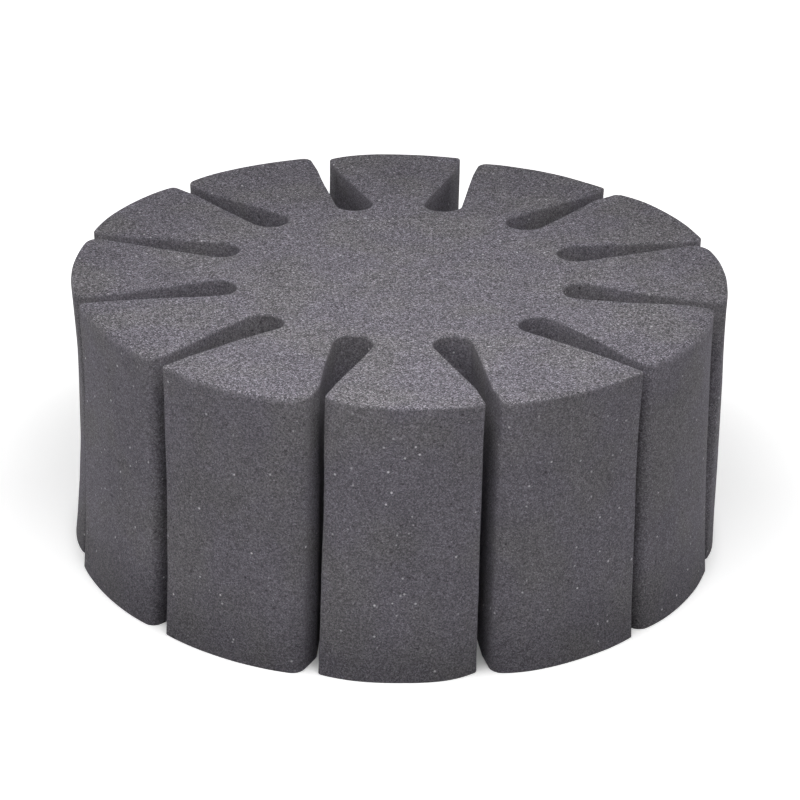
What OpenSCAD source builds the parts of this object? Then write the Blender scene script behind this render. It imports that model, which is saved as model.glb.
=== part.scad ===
// Round polishing pad: one piece of dense closed-cell foam, cut from sheet, with a ring of
// radial keyhole slots that part its outer zone into flexible fingers.
// Millimetres, +Z up. The origin is the centre of the lower flat face. A finger lies on -Y.

/* [Pad] */
// Diameter across opposite fingers
pad_d = 80; // [70:1:110]
// Height of the pad, which is the thickness of the foam sheet
pad_h = 35; // [20:1:50]
// Radius left on the outer rim of both flat faces
rim_r = 0.6; // [0.3:0.1:1.5]
// How far the cut outer wall is drawn in at half height
wall_waist = 0.4; // [0.2:0.1:1.0]

/* [Slots] */
// Number of slots, and so of fingers
slot_count = 12; // [6:1:14]
// Diameter of the uncut core that the slots leave
core_d = 41; // [34:1:46]
// Width of a slot at its round inner end
slot_end_w = 4.8; // [3:0.1:6]
// Width of a slot between the lips at its mouth
slot_mouth_w = 1.8; // [1:0.1:2.8]
// Length of the lips, where the slot keeps its mouth width
lip_l = 4.4; // [2.5:0.1:6]
// Radius on the outer corners of the lips
lip_r = 1; // [0.5:0.1:2]

/* [Hidden] */
foam_grey = [0.41, 0.40, 0.43];

pad_r = pad_d / 2;
slot_pitch = 360 / slot_count;
slot_end_r = slot_end_w / 2;
slot_end_at = core_d / 2 + slot_end_r;
lips_at = pad_r - lip_l;
half_mouth = slot_mouth_w / 2;
// How far a cut runs on past the foam.
overcut = 2;
// How far a round surface that blends into another one is set past the place where the two would
// only touch, so that they cross at a clear angle.
lap = 0.02;

$fn = 96;

// The point of a slot's round end where the flank towards the lips leaves it, close to a tangent.
function flank_start() =
    let (
        run = lips_at - slot_end_at,
        r = slot_end_r - lap,
        leave = atan2(half_mouth, run) + acos(r / norm([run, half_mouth]))
    )
    [slot_end_at + r * cos(leave), r * sin(leave)];

// The radius of an arc with this chord and this rise.
function arc_radius(chord, rise) = chord * chord / (8 * rise) + rise / 2;

// Half of the section of the uncut disc: rounded rims, and a wall that is slightly hollow.
module disc_section() {
    wall_h = pad_h - 2 * rim_r;
    waist_r = arc_radius(wall_h + 2 * lap, wall_waist);
    difference() {
        union() {
            square([pad_r - rim_r, pad_h]);
            translate([0, rim_r])
                square([pad_r, wall_h]);
            for (z = [rim_r, pad_h - rim_r])
                translate([pad_r - rim_r, z])
                    circle(r = rim_r);
        }
        translate([pad_r - wall_waist + waist_r, pad_h / 2])
            circle(r = waist_r, $fn = 720);
    }
}

// The waste at one corner of a finger: what lies outside an arc that runs from the lip into the wall.
module lip_corner() {
    centre_y = half_mouth + lip_r - lap;
    centre = [sqrt(pow(pad_r - lip_r + lap, 2) - pow(centre_y, 2)), centre_y];
    outward = centre / norm(centre);
    difference() {
        polygon([
            [centre.x, 0],
            [centre.x, centre.y],
            centre + outward * (lip_r + overcut),
            [pad_r + overcut, 0]
        ]);
        translate(centre)
            circle(r = lip_r);
    }
}

// Outline of one slot along +X: round end, tapering flanks, parallel lips and rounded corners.
module slot_outline() {
    flank = flank_start();
    translate([slot_end_at, 0])
        circle(r = slot_end_r);
    polygon([
        [slot_end_at, 0],
        flank,
        [lips_at, half_mouth],
        [pad_r + overcut, half_mouth],
        [pad_r + overcut, -half_mouth],
        [lips_at, -half_mouth],
        [flank.x, -flank.y]
    ]);
    lip_corner();
    mirror([0, 1])
        lip_corner();
}

module foam_pad() {
    color(foam_grey)
        difference() {
            rotate_extrude()
                disc_section();
            for (i = [0 : slot_count - 1])
                rotate([0, 0, (i + 0.5) * slot_pitch - 90])
                    translate([0, 0, -overcut])
                        linear_extrude(height = pad_h + 2 * overcut)
                            slot_outline();
        }
}

foam_pad();
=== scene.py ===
"""Looks of the polishing pad: a thick round foam disc whose rim is parted into fingers by keyhole slots.

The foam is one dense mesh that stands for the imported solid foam_pad. It is worked out in
millimetres, in the frame of the CAD, and turned into metres when the mesh is made.
"""

import math
from collections import namedtuple

import bpy
import numpy as np
from mathutils import Matrix, Vector, noise
from mathutils.geometry import delaunay_2d_cdt


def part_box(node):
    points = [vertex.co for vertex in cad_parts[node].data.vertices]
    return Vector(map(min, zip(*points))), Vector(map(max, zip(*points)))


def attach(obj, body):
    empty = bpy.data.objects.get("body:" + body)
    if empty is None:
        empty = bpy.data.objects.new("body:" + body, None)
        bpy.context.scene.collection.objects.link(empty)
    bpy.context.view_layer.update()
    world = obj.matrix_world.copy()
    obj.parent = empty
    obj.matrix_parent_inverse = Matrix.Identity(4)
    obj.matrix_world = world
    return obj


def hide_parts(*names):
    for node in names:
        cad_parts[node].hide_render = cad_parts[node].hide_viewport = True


MM = 0.001

# ---------------------------------------------------------------- sizes of the pad, in millimetres
SLOT_COUNT = 12
PITCH = 360 / SLOT_COUNT
CORE_R = 20.5
SLOT_END_R = 2.4
MOUTH_HALF = 0.9
LIP_LENGTH = 4.4
# Radius left on the edges of the slots, and on the lower edge all round
CUT_RIM = 0.25
FOOT_RIM = 0.12
# Where a finger's corners lie, in degrees from its middle
CORNER_AT = 12
# The rim's radius at a corner, as the largest share of the corner's own radius
RIM_AT_CORNER = 0.5
# The share of the outer wall, at each corner, over which the rim grows to its own radius
RIM_GROWTH = 0.2

# How each finger departs from the pattern, from the front finger anticlockwise.
# top, foot: round the finger's end from its clockwise side, at the upper and the lower face: how far
#   that side stands out into the slot, the reach of the first corner, of the middle and of the second
#   corner, and how far the other side stands out
# sides: how far the clockwise side stands out halfway along the slot and at the start of the lips,
#   and the same for the other side
# slot_end: how far the round end of the slot on its clockwise side is shifted anticlockwise
# corners: radius of the two corners
# rim: radius left on the upper edge of the outer wall
# waist: how far the outer wall is drawn in at half height
Finger = namedtuple("Finger", "top foot sides slot_end corners rim waist")
FINGERS = [
    Finger(
        top=(0.0, -1.5, -0.15, -0.45, -0.15),
        foot=(0.1, -0.4, 0.15, -1.0, 0.1),
        sides=(-0.3, -0.3, 0, 0),
        slot_end=0.2,
        corners=(0.4, 0.4),
        rim=0.25,
        waist=0.4,
    ),
    Finger(
        top=(-0.05, 0.0, 0.2, 0.2, 0.0),
        foot=(0.1, -0.5, 0.25, 0.05, 0.7),
        sides=(-0.1, 0, 0, 0),
        slot_end=0.0,
        corners=(1.2, 0.5),
        rim=0.3,
        waist=0.4,
    ),
    Finger(
        top=(0.3, -0.3, -0.1, -0.7, 0.2),
        foot=(-0.4, -0.15, 0.2, 0.1, 0.3),
        sides=(-0.3, 0, 0.1, 0.3),
        slot_end=0.0,
        corners=(1.2, 0.8),
        rim=0.9,
        waist=0.3,
    ),
    Finger(
        top=(-0.5, 0.15, 0.1, -0.3, 0.4),
        foot=(-0.1, -0.2, 0.3, 0.1, 0.2),
        sides=(0, -0.3, 0, 0),
        slot_end=0.1,
        corners=(1.2, 2.0),
        rim=0.5,
        waist=0.0,
    ),
    Finger(
        top=(0.0, 0.05, 0.15, -0.5, -0.45),
        foot=(0.0, 0.0, 0.1, -0.2, -0.2),
        sides=(0, 0, -0.1, 0),
        slot_end=0.1,
        corners=(0.8, 0.8),
        rim=0.3,
        waist=0.3,
    ),
    Finger(
        top=(-0.1, -0.45, -0.5, -1.05, -0.3),
        foot=(0.0, -0.3, -0.2, -0.5, -0.2),
        sides=(0, 0, -0.2, -0.45),
        slot_end=0.0,
        corners=(0.4, 1.1),
        rim=0.25,
        waist=0.4,
    ),
    Finger(
        top=(-0.7, -0.1, 0.1, -0.7, -0.45),
        foot=(-0.7, -0.3, 0.0, -0.4, -0.4),
        sides=(-0.2, -0.5, -0.4, -0.4),
        slot_end=-0.1,
        corners=(0.4, 0.5),
        rim=0.25,
        waist=0.4,
    ),
    Finger(
        top=(0.0, 0.1, 0.05, -0.4, 0.1),
        foot=(0.0, -0.1, 0.0, -0.2, 0.1),
        sides=(0, -0.15, 0, 0),
        slot_end=-0.5,
        corners=(1.2, 1.4),
        rim=0.25,
        waist=0.4,
    ),
    Finger(
        top=(-0.1, -0.15, 0.25, 0.0, -0.05),
        foot=(0.0, -0.1, 0.1, -0.1, 0.0),
        sides=(-0.2, -0.1, 0, 0),
        slot_end=0.0,
        corners=(0.7, 0.7),
        rim=0.3,
        waist=0.5,
    ),
    Finger(
        top=(0.3, -0.1, 0.0, 0.1, -0.35),
        foot=(0.2, 0.0, 0.15, -0.3, -0.3),
        sides=(0, 0, 0, 0),
        slot_end=-0.1,
        corners=(1.6, 1.2),
        rim=0.5,
        waist=0.8,
    ),
    Finger(
        top=(0.3, 0.0, -0.3, -0.2, -0.3),
        foot=(0.1, 0.2, 0.25, 0.0, -0.3),
        sides=(0, 0, -0.3, -0.3),
        slot_end=-0.1,
        corners=(1.0, 1.2),
        rim=1.0,
        waist=0.5,
    ),
    Finger(
        top=(0.0, 0.2, 0.4, -0.1, 0.0),
        foot=(0.1, 0.0, 0.25, 0.1, -0.3),
        sides=(0, 0, 0.2, 0.5),
        slot_end=0.0,
        corners=(0.5, 1.2),
        rim=0.6,
        waist=0.4,
    ),
]

# ---------------------------------------------------------------- how finely the mesh is divided
END_STEPS = 14
FLANK_STEPS = 24
LIP_STEPS = 8
CORNER_STEPS = 8
WALL_STEPS = 36
RIM_STEPS = 4
HEIGHT_STEPS = 24
# Spacing of the points that fill a flat face
CAP_SPACING = 1.1
# Where the first rings beyond a rounded edge lie, in radii of that edge
FACE_RING = 1.4
WALL_RING = 1.5


def slot_side(pad_r, corner_r):
    """One side of a slot that runs along +X, as points from its inner end to the wall, with y >= 0."""
    end_at = CORE_R + SLOT_END_R
    lips_at = pad_r - LIP_LENGTH
    run = lips_at - end_at
    leave = math.atan2(MOUTH_HALF, run) + math.acos(SLOT_END_R / math.hypot(run, MOUTH_HALF))
    turn = np.linspace(math.pi, leave, END_STEPS + 1)
    end = np.stack([end_at + SLOT_END_R * np.cos(turn), SLOT_END_R * np.sin(turn)], 1)

    corner_y = MOUTH_HALF + corner_r
    corner = np.array([math.sqrt((pad_r - corner_r) ** 2 - corner_y**2), corner_y])
    lip = np.array([[lips_at, MOUTH_HALF], [corner[0], MOUTH_HALF]])
    turn = np.linspace(-math.pi / 2, math.atan2(corner[1], corner[0]), CORNER_STEPS + 1)
    bend = corner + corner_r * np.stack([np.cos(turn), np.sin(turn)], 1)
    return np.vstack(
        [end, between(end[-1], lip[0], FLANK_STEPS), between(lip[0], lip[1], LIP_STEPS), bend[1:]]
    )


def between(start, stop, steps):
    """Points on a straight line, without its first one."""
    share = np.arange(1, steps + 1)[:, None] / steps
    return np.asarray(start) * (1 - share) + np.asarray(stop) * share


def turned(points, degrees):
    """Points turned anticlockwise about the pad's axis."""
    c, s = math.cos(math.radians(degrees)), math.sin(math.radians(degrees))
    return points @ np.array([[c, s], [-s, c]])


def outline(pad_r):
    """The pad's outline as a closed anticlockwise loop, finger after finger, and the radius left on its
    upper edge at each point."""
    loop, rims = [], []
    for i, finger in enumerate(FINGERS):
        first, second = (slot_side(pad_r, corner_r) for corner_r in finger.corners)
        start = math.atan2(first[-1, 1], first[-1, 0])
        stop = math.radians(PITCH) - math.atan2(second[-1, 1], second[-1, 0])
        turn = np.linspace(start, stop, WALL_STEPS + 1)[1:-1]
        wall = pad_r * np.stack([np.cos(turn), np.sin(turn)], 1)
        back = turned(second[::-1] * [1, -1], PITCH)[:-1]
        loop.append(turned(np.vstack([first, wall, back]), (i - 0.5) * PITCH - 90))
        rims.append(finger_rims(finger, len(first), len(wall), len(back)))
    return np.vstack(loop), np.concatenate(rims)


def finger_rims(finger, first, wall, back):
    """The radius left on a finger's upper edge, point by point: wide on the wall, narrow in the slots."""
    at_first, at_second = (
        max(CUT_RIM, min(finger.rim, RIM_AT_CORNER * corner_r)) for corner_r in finger.corners
    )
    onto_first = np.linspace(0, 1, CORNER_STEPS)
    grow = CUT_RIM + (at_first - CUT_RIM) * smooth_step(onto_first)
    shrink = CUT_RIM + (at_second - CUT_RIM) * smooth_step(onto_first[::-1])
    share = np.linspace(0, 1, wall)
    ends = at_first * (1 - share) + at_second * share
    middle = ends + (finger.rim - ends) * smooth_step(np.minimum(share, 1 - share) / RIM_GROWTH)
    plain_first = np.full(first - CORNER_STEPS, CUT_RIM)
    plain_back = np.full(back - CORNER_STEPS, CUT_RIM)
    return np.concatenate([plain_first, grow, middle, shrink, plain_back])


def outward(loop):
    """The outward direction at each point of an anticlockwise loop."""
    along = np.roll(loop, -1, 0) - np.roll(loop, 1, 0)
    away = np.stack([along[:, 1], -along[:, 0]], 1)
    return away / np.linalg.norm(away, axis=1, keepdims=True)


def wall_rings(loop, rims, pad_h):
    """The rings of points that make the wall, from the lower flat face round both edges to the upper one."""
    away = outward(loop)
    turn = np.linspace(0, math.pi / 2, RIM_STEPS + 1)
    bend = [(FACE_RING, 0.0), *zip(1 - np.sin(turn), 1 - np.cos(turn)), (0.0, WALL_RING)]
    foot = [(inset * FOOT_RIM, np.full(len(loop), rise * FOOT_RIM)) for inset, rise in bend]
    top = [(inset * rims[:, None], pad_h - rise * rims) for inset, rise in reversed(bend)]
    low, high = foot[-1][1], top[0][1]
    shares = [i / HEIGHT_STEPS for i in range(1, HEIGHT_STEPS)]
    middle = [(0.0, low * (1 - share) + high * share) for share in shares]
    return [np.column_stack([loop - away * inset, z]) for inset, z in foot + middle + top]


def in_cap(points, pad_r, margin):
    """Which points lie inside the pad's outline, at least margin away from it."""
    radius = np.linalg.norm(points, axis=1)
    angle = np.degrees(np.arctan2(points[:, 1], points[:, 0]))
    off = np.radians((angle + 90) % PITCH - PITCH / 2)
    u, v = radius * np.cos(off), np.abs(radius * np.sin(off))
    side = slot_side(pad_r, corner_r=1.0)
    end_at = CORE_R + SLOT_END_R
    half = np.interp(u, side[END_STEPS:, 0], side[END_STEPS:, 1])
    clear = np.where(u < end_at, np.hypot(u - end_at, v) - SLOT_END_R, v - half)
    return (radius < pad_r - margin) & (clear > margin)


def cap_points(pad_r, margin):
    """Points of a triangular grid that fill a flat face, and stay clear of its edge."""
    reach = int(pad_r / CAP_SPACING) + 2
    row, column = np.mgrid[-reach : reach + 1, -reach : reach + 1]
    x = (column + 0.5 * (row % 2)) * CAP_SPACING
    y = row * CAP_SPACING * math.sqrt(3) / 2
    points = np.stack([x.ravel(), y.ravel()], 1)
    return points[in_cap(points, pad_r, margin)]


def cap_faces(ring, inner):
    """Triangles over a ring of points and the points inside it, all numbered in that order."""
    points = [Vector(p) for p in np.vstack([ring, inner])]
    count = len(ring)
    edges = [(i, (i + 1) % count) for i in range(count)]
    _, _, faces, origin, _, _ = delaunay_2d_cdt(points, edges, [], 1, 1e-5)
    return [[origin[v][0] for v in face] for face in faces]


def pad_mesh_data(pad_r, pad_h):
    """Points and faces of the pad before its fingers are bent."""
    loop, rims = outline(pad_r)
    rings = wall_rings(loop, rims, pad_h)
    inner = cap_points(pad_r, FACE_RING * rims.max())
    low = np.column_stack([inner, np.zeros(len(inner))])
    high = np.column_stack([inner, np.full(len(inner), pad_h)])
    points = np.vstack([*rings, low, high])

    n, last = len(loop), (len(rings) - 1) * len(loop)
    here, following = np.arange(n), (np.arange(n) + 1) % n
    faces = []
    for row in range(len(rings) - 1):
        a, b = row * n, (row + 1) * n
        faces += np.stack([a + here, a + following, b + following, b + here], 1).tolist()
    first_low = len(rings) * n
    first_high = first_low + len(inner)
    for face in cap_faces(rings[0][:, :2], inner):
        faces.append([v if v < n else first_low + v - n for v in reversed(face)])
    for face in cap_faces(rings[-1][:, :2], inner):
        faces.append([last + v if v < n else first_high + v - n for v in face])
    return points, faces


def smooth_step(x):
    """Goes from 0 to 1 with a level start and end, as x does."""
    x = np.clip(x, 0, 1)
    return x * x * (3 - 2 * x)


def lean(points, pad_r, pad_h):
    """Bends and narrows each finger as FINGERS says, and draws its wall in at half height.

    off is how far a point lies from the middle of its finger, from -1 at the slot on its clockwise side
    to 1 at the other one. Points move outwards by out and anticlockwise by across.
    """
    x, y, z = points.T
    radius, angle = np.hypot(x, y), np.degrees(np.arctan2(y, x))
    finger = np.round((angle + 90) / PITCH).astype(int)
    off = (angle + 90 - finger * PITCH) / (PITCH / 2)
    finger = finger % SLOT_COUNT
    up = z / pad_h

    def of_finger(values):
        return np.array(values, float)[finger].T

    def at_height(column):
        top = of_finger([f.top[column] for f in FINGERS])
        foot = of_finger([f.foot[column] for f in FINGERS])
        return top * up + foot * (1 - up)

    share = smooth_step((radius - CORE_R) / (pad_r - CORE_R))
    # The end of a finger is nearly round in its middle, and departs most at its corners
    to_corner = np.minimum(np.abs(off) * PITCH / 2 / CORNER_AT, 1.2) ** 3
    corner = np.where(off < 0, at_height(1), at_height(3))
    reach = at_height(2) + (corner - at_height(2)) * to_corner
    out = (reach - of_finger([f.waist for f in FINGERS]) * 4 * up * (1 - up)) * share

    # The sides start to move a little inside the core, so that the slots' round ends move whole
    stations = [CORE_R - 5, CORE_R + SLOT_END_R, (CORE_R + pad_r) / 2, pad_r - LIP_LENGTH, pad_r]
    ends = [f.slot_end for f in FINGERS]
    mid_a, lip_a, mid_b, lip_b = of_finger([f.sides for f in FINGERS])
    first = along(radius, stations, [0, of_finger(ends), -mid_a, -lip_a, -at_height(0)])
    second = along(radius, stations, [0, of_finger(ends[1:] + ends[:1]), mid_b, lip_b, at_height(4)])
    across = first + (second - first) * smooth_step((off / 0.75 + 1) / 2)
    ux, uy = x / np.maximum(radius, 1e-9), y / np.maximum(radius, 1e-9)
    return np.stack([x + ux * out - uy * across, y + uy * out + ux * across, z], 1)


def along(radius, stations, values):
    """A value at each radius on the straight lines between the stations, whose values may be arrays."""
    result = np.zeros_like(radius) + values[0]
    for i in range(len(stations) - 1):
        share = np.clip((radius - stations[i]) / (stations[i + 1] - stations[i]), 0, 1)
        result = result + (np.asarray(values[i + 1]) - values[i]) * share
    return result


# Waves of the cut faces: their length and depth in millimetres, and where in the noise they start
WAVES = ((9.0, 0.10, 3.1), (3.5, 0.035, 7.7))
# The share of the height over which the waves grow upwards from the flat lower face
WAVE_GROWTH = 0.3
# Blender seeds this noise from the clock, so a fixed seed keeps every run the same
WAVE_SEED = 4


def uneven(points, pad_h):
    """Gives the cut faces the slight waves that soft foam is left with. The lower face stays flat."""
    noise.seed_set(WAVE_SEED)
    moved = points.copy()
    for wave, depth, start in WAVES:
        push = np.array([noise.noise_vector(Vector(p) / wave + Vector((start,) * 3)) for p in points])
        push[:, 2] *= smooth_step(points[:, 2] / (WAVE_GROWTH * pad_h))
        moved += depth * push
    return moved


def make_pad(low, high):
    """The foam pad as a mesh object over the box of the CAD's solid."""
    pad_r, pad_h = (high.x - low.x) / 2 / MM, (high.z - low.z) / MM
    points, faces = pad_mesh_data(pad_r, pad_h)
    points = uneven(lean(points, pad_r, pad_h), pad_h)
    middle = np.array([(low.x + high.x) / 2, (low.y + high.y) / 2, low.z])
    mesh = bpy.data.meshes.new("foam_pad_cut")
    mesh.from_pydata((points * MM + middle).tolist(), [], faces)
    mesh.validate()
    mesh.polygons.foreach_set("use_smooth", [True] * len(mesh.polygons))
    mesh.update()
    pad = bpy.data.objects.new("foam_pad_cut", mesh)
    bpy.context.scene.collection.objects.link(pad)
    return pad


# ---------------------------------------------------------------- foam
# Sizes are in millimetres unless their comment says metres, and colours are linear.
FOAM_PURPLE = (0.182, 0.172, 0.197)
FOAM_NEUTRAL = (0.184, 0.176, 0.189)
HUE_SIZE = 9.0
SPECK_COLOUR = (0.75, 0.73, 0.76)
SPECK_SPACING = 0.9
FAINTEST_SPECK = 0.2
PORE_SPACING = 1.1
PORE_SHADE = 0.6
CELL_SIZE = 0.15
GRAIN_SIZE = 0.12
MOTTLE_SIZE = 6.0
MOTTLE_RANGE = (0.94, 1.06)
BUMP_DEPTH = 0.05
# Contrast of the speckle: the power of 2 between its darkest and its lightest cells
FLAT_GRAIN = 2.3
WALL_GRAIN = 1.2
# The flat faces carry painted shade: they are lightest round this place, in metres, and darker from the
# first of these distances to the second, as if the light fell off towards the back and the outer ends of the
# fingers
PAINTED_LIGHT_CENTRE = (0, -0.012, 0.035)
PAINTED_FALLOFF_REACH = (0.024, 0.046)
FACE_LEVEL_AND_PAINTED_FALLOFF = (0.94, 0.78)
WALL_LEVEL = 0.94
# The wall's lowest stretch, in metres, carries painted shade: its colour is darker where it stands on the
# floor, in place of the contact shade there
PAINTED_FOOT_SHADE_HEIGHT = 0.010
PAINTED_FOOT_SHADE = 0.66


class Graph:
    """The node tree of a material, given by its new name, or of a world, with short calls for its nodes."""

    def __init__(self, owner):
        self.owner = bpy.data.materials.new(owner) if isinstance(owner, str) else owner
        self.owner.use_nodes = True
        self.tree = self.owner.node_tree
        self.tree.nodes.clear()

    def node(self, kind, settings=None, **inputs):
        """A new node. An input is named by its socket, with _ for a space, or numbered as n0, n1 and on."""
        made = self.tree.nodes.new("ShaderNode" + kind)
        for key, value in (settings or {}).items():
            setattr(made, key, value)
        for key, value in inputs.items():
            self.feed(made, key.replace("_", " "), value)
        return made

    def feed(self, made, key, value):
        """Links a socket into an input, or sets the input to plain values."""
        numbered = key[0] == "n" and key[1:].isdigit()
        socket = made.inputs[int(key[1:])] if numbered else made.inputs[key]
        if isinstance(value, bpy.types.NodeSocket):
            self.tree.links.new(value, socket)
        else:
            socket.default_value = value

    def math(self, operation, a, b=0.0):
        return self.node("Math", {"operation": operation}, n0=a, n1=b).outputs[0]

    def product(self, first, *others):
        for other in others:
            first = self.math("MULTIPLY", first, other)
        return first

    def remap(self, value, low, high, to_low=0.0, to_high=1.0, smooth=True):
        settings = {"interpolation_type": "SMOOTHSTEP" if smooth else "LINEAR"}
        made = self.node("MapRange", settings, n0=value, n1=low, n2=high, n3=to_low, n4=to_high)
        return made.outputs[0]

    def noise(self, place, size_mm, detail=0.0, roughness=0.5):
        made = self.node("TexNoise", Vector=place, Detail=detail, Roughness=roughness)
        made.inputs["Scale"].default_value = 1 / (size_mm * MM)
        return made.outputs["Fac"]

    def cells(self, place, size_mm):
        """A random lattice of cells: the distance to a cell's centre, and a random colour for each."""
        made = self.node("TexVoronoi", {"feature": "F1"}, Vector=place)
        made.inputs["Scale"].default_value = 1 / (size_mm * MM)
        return made

    def distance(self, place, centre):
        made = self.node("VectorMath", {"operation": "DISTANCE"}, n0=place, n1=centre)
        return made.outputs["Value"]

    def mix(self, blend_type, share, first, second):
        """Two colours, each of them a socket or plain values, mixed."""
        made = self.node("Mix", {"data_type": "RGBA", "blend_type": blend_type}, n0=share)
        for socket, colour in (("n6", first), ("n7", second)):
            linked = isinstance(colour, bpy.types.NodeSocket)
            self.feed(made, socket, colour if linked else (*colour, 1))
        return made.outputs[2]

    def finish(self, surface, output="OutputMaterial"):
        self.node(output, Surface=surface)
        return self.owner


def foam_material():
    """Cut face of fine closed-cell foam: a speckle of tiny cells, with pores and pale specks."""
    g = Graph("closed_cell_foam")
    coordinates = g.node("TexCoord")
    place = coordinates.outputs["Object"]
    tilt = g.node("SeparateXYZ", Vector=coordinates.outputs["Normal"]).outputs[2]
    flat = g.remap(g.math("ABSOLUTE", tilt), 0.5, 0.9)
    cells = g.cells(place, CELL_SIZE)
    grain = g.noise(place, GRAIN_SIZE, 1.0, 0.6)
    pores = spots(g, place, PORE_SPACING, 0.22, rarity=0.75, channel=0)

    mottle = g.noise(place, MOTTLE_SIZE, 3.0, 0.55)
    tone = g.product(
        speckle(g, cells, grain, flat),
        g.remap(mottle, 0.25, 0.75, *MOTTLE_RANGE),
        g.remap(pores, 0.0, 1.0, 1.0, PORE_SHADE),
        # painted shade at the foot of the walls, where they stand on the floor
        g.math("MAXIMUM", painted_foot_shade(g, place), flat),
        # overall level, with painted shade that darkens the flat faces away from the front
        level(g, place, flat),
    )
    hue = g.mix("MIX", g.remap(g.noise(place, HUE_SIZE, 2.0), 0.4, 0.65), FOAM_PURPLE, FOAM_NEUTRAL)
    base = g.mix("MULTIPLY", 1.0, hue, tone)
    specks = spots(g, place, SPECK_SPACING, 0.21, rarity=0.84, channel=1, faintest=FAINTEST_SPECK)
    colour = g.mix("MIX", specks, base, SPECK_COLOUR)

    cell_depth = g.remap(cells.outputs["Distance"], 0.1, 0.65)
    height = g.math("ADD", g.math("MULTIPLY", cell_depth, 0.6), g.math("MULTIPLY", grain, 0.8))
    height = g.math("SUBTRACT", height, g.math("MULTIPLY", pores, 1.2))
    bump = g.node("Bump", Strength=1.0, Distance=BUMP_DEPTH * MM, Height=height)
    shader = g.node("BsdfPrincipled", Base_Color=colour, Normal=bump.outputs[0])
    shader.inputs["Roughness"].default_value = 0.95
    shader.inputs["Diffuse Roughness"].default_value = 0.4
    shader.inputs["Specular IOR Level"].default_value = 0.2
    return g.finish(shader.outputs[0])


def speckle(g, cells, grain, flat):
    """Lighter and darker cells, as a factor of the colour, with more contrast on the flat faces."""
    cell_shade = g.node("SeparateColor", Color=cells.outputs["Color"]).outputs[0]
    from_cells = g.remap(cell_shade, 0.0, 1.0, -0.5, 0.5, smooth=False)
    from_grain = g.remap(grain, 0.25, 0.75, -0.5, 0.5, smooth=False)
    contrast = g.remap(flat, 0.0, 1.0, WALL_GRAIN, FLAT_GRAIN)
    return g.math("POWER", 2.0, g.math("MULTIPLY", g.math("ADD", from_cells, from_grain), contrast))


def painted_foot_shade(g, place):
    # Painted shade: the wall's colour darkens towards its foot, where it stands on the floor
    height_up = g.node("SeparateXYZ", Vector=place).outputs[2]
    return g.remap(height_up, 0.0, PAINTED_FOOT_SHADE_HEIGHT, PAINTED_FOOT_SHADE, 1.0)


def level(g, place, flat):
    """The foam's overall level on the walls and over the flat faces, as a factor of its colour, with painted
    shade that darkens the flat faces away from the front.
    """
    # Painted shade: the flat faces darken with distance from a place near the front
    face_level_and_painted_falloff = g.remap(g.distance(place, PAINTED_LIGHT_CENTRE), *PAINTED_FALLOFF_REACH, *FACE_LEVEL_AND_PAINTED_FALLOFF)
    return g.remap(flat, 0.0, 1.0, WALL_LEVEL, face_level_and_painted_falloff)


def spots(g, place, spacing, radius, rarity, channel, faintest=1.0):
    """Round spots, at most one to a cell of a random lattice.

    spacing is the size of a cell in millimetres, and radius the size of a spot in cells. A cell has a
    spot if its random value, taken from one channel of its colour, is above rarity. The spot's strength
    goes from faintest to 1 as that value goes from rarity to 1.
    """
    cell = g.cells(place, spacing)
    pick = g.node("SeparateColor", Color=cell.outputs["Color"]).outputs[channel]
    disc = g.remap(cell.outputs["Distance"], radius, 0.4 * radius)
    strength = g.remap(pick, rarity, 1.0, faintest, 1.0, smooth=False)
    return g.product(disc, g.math("GREATER_THAN", pick, rarity), strength)


# ---------------------------------------------------------------- stage, lamps and camera
# What the floor throws back at the pad, and what the camera sees of the light on it
FLOOR_BOUNCE = 0.7
FLOOR_LIT = 0.9
# Glow that makes the floor white in view: painted light that only the camera sees, all but none inside the
# slots, part near the pad, and full far from it, so the pad's shadow shows only close by. The rings over
# which it grows are distances from the pad's axis in metres.
GLOW_IN_SLOTS = 0.05
GLOW_NEAR = 0.6
GLOW_FAR = 1.0
PAD_EDGE = (0.036, 0.042)
FAR_RING = (0.045, 0.09)
FLOOR_HALF = 3.0
WORLD_LEVEL = 0.04

Lamp = namedtuple("Lamp", "name place target size power")
# Square soft boxes, in metres and watts. The two at the back stand lower than the pad's upper face, so
# they light its back walls only.
LAMPS = [
    Lamp("over_front", (0, -0.065, 0.145), (0, -0.02, 0.03), 0.10, 0.145),
    Lamp("left", (-0.235, -0.08, 0.085), (0, 0, 0.02), 0.20, 0.190),
    Lamp("right", (0.235, -0.08, 0.085), (0, 0, 0.02), 0.20, 0.147),
    Lamp("front", (0, -0.12, 0.05), (0, -0.03, 0.02), 0.06, 0.007),
    Lamp("back_left", (-0.18, 0.18, 0.017), (0, 0, 0.017), 0.03, 0.10),
    Lamp("back_right", (0.18, 0.18, 0.017), (0, 0, 0.017), 0.03, 0.10),
]


def white_in_view(g, dim, bright):
    """A value that is bright where the camera, a gloss or a glass looks, and dim for all other light."""
    ray = g.node("LightPath")
    seen = g.math("MAXIMUM", ray.outputs["Is Camera Ray"], ray.outputs["Is Glossy Ray"])
    seen = g.math("MAXIMUM", seen, ray.outputs["Is Transmission Ray"])
    return g.remap(seen, 0.0, 1.0, dim, bright, smooth=False)


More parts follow.
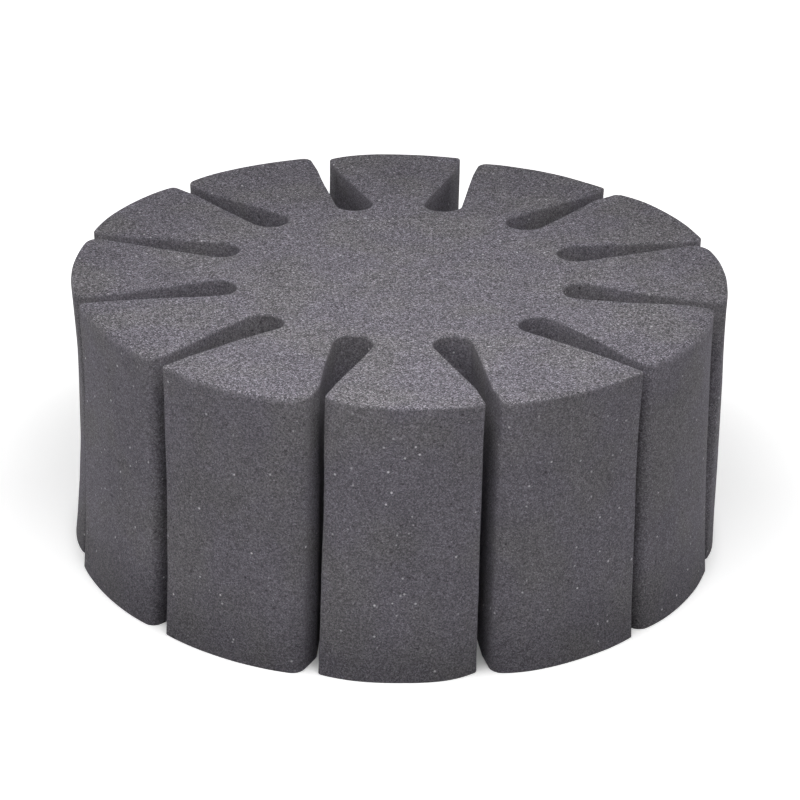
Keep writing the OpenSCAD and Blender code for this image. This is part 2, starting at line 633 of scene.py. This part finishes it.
def floor_material():
    """A pale floor that the camera sees as white through a painted glow, weaker under and beside the pad,
    and that still takes the pad's shadow.
    """
    g = Graph("pale_floor")
    distance = g.distance(g.node("TexCoord").outputs["Object"], (0, 0, 0))
    # painted glow: weakest inside the slots and beside the pad, full far from it
    beside_pad = g.remap(distance, *PAD_EDGE, GLOW_IN_SLOTS, GLOW_NEAR)
    glow_level = g.math("ADD", beside_pad, g.remap(distance, *FAR_RING, 0.0, GLOW_FAR - GLOW_NEAR))
    lit = g.node("BsdfDiffuse", Color=white_in_view(g, FLOOR_BOUNCE, FLOOR_LIT))
    glow = g.node("Emission", Strength=white_in_view(g, 0.0, glow_level))
    return g.finish(g.node("AddShader", n0=lit.outputs[0], n1=glow.outputs[0]).outputs[0])


def make_floor(low):
    """A square floor at the pad's foot."""
    half = FLOOR_HALF
    mesh = bpy.data.meshes.new("floor")
    points = [(-half, -half, low.z), (half, -half, low.z), (half, half, low.z), (-half, half, low.z)]
    mesh.from_pydata(points, [], [(0, 1, 2, 3)])
    floor = bpy.data.objects.new("floor", mesh)
    bpy.context.scene.collection.objects.link(floor)
    mesh.materials.append(floor_material())


def make_world():
    """Dim light from all round, which the camera sees as white."""
    world = bpy.data.worlds.new("studio")
    bpy.context.scene.world = world
    g = Graph(world)
    strength = white_in_view(g, WORLD_LEVEL, 1.0)
    background = g.node("Background", Color=(1, 1, 1, 1), Strength=strength)
    g.finish(background.outputs[0], "OutputWorld")


def make_lamp(lamp):
    """A soft box that faces its target."""
    light = bpy.data.lights.new(lamp.name, "AREA")
    light.size = lamp.size
    light.energy = lamp.power
    placed = bpy.data.objects.new(lamp.name, light)
    placed.visible_camera = False
    placed.location = lamp.place
    facing = Vector(lamp.target) - Vector(lamp.place)
    placed.rotation_euler = facing.to_track_quat("-Z", "Y").to_euler()
    bpy.context.scene.collection.objects.link(placed)


def make_camera(low, high):
    """A long lens in front of the pad, looking down at it, turned and rolled by a degree."""
    azimuth, elevation, roll = math.radians(-1.33), math.radians(24.97), math.radians(1.15)
    distance, aside, below = 414.2 * MM, 0.41 * MM, 0.03 * MM
    middle = (low + high) / 2
    forward = Vector((0, math.cos(elevation), -math.sin(elevation)))
    upward = Vector((0, math.sin(elevation), math.cos(elevation)))
    right = Vector((1, 0, 0))
    place = right * aside + upward * below - forward * distance
    axes = Matrix((right, upward, -forward)).transposed() @ Matrix.Rotation(roll, 3, "Z")
    turn = Matrix.Rotation(azimuth, 4, "Z")
    data = bpy.data.cameras.new("camera")
    data.sensor_width = 36
    data.lens = 149.7
    camera = bpy.data.objects.new("camera", data)
    camera.matrix_world = Matrix.Translation(middle) @ turn @ Matrix.Translation(place) @ axes.to_4x4()
    bpy.context.scene.collection.objects.link(camera)
    bpy.context.scene.camera = camera


# ---------------------------------------------------------------- the scene
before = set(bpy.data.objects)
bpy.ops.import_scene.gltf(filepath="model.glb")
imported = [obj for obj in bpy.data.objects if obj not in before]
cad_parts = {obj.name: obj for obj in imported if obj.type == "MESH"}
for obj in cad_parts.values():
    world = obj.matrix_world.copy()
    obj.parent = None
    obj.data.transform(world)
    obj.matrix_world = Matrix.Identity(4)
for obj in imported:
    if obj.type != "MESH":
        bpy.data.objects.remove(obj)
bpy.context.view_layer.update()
low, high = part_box("foam_pad")
make_camera(low, high)

pad = make_pad(low, high)
pad.data.materials.append(foam_material())
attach(pad, "root")
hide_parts("foam_pad")

make_floor(low)
make_world()
for lamp in LAMPS:
    make_lamp(lamp)
bpy.context.scene.view_settings.view_transform = "Standard"
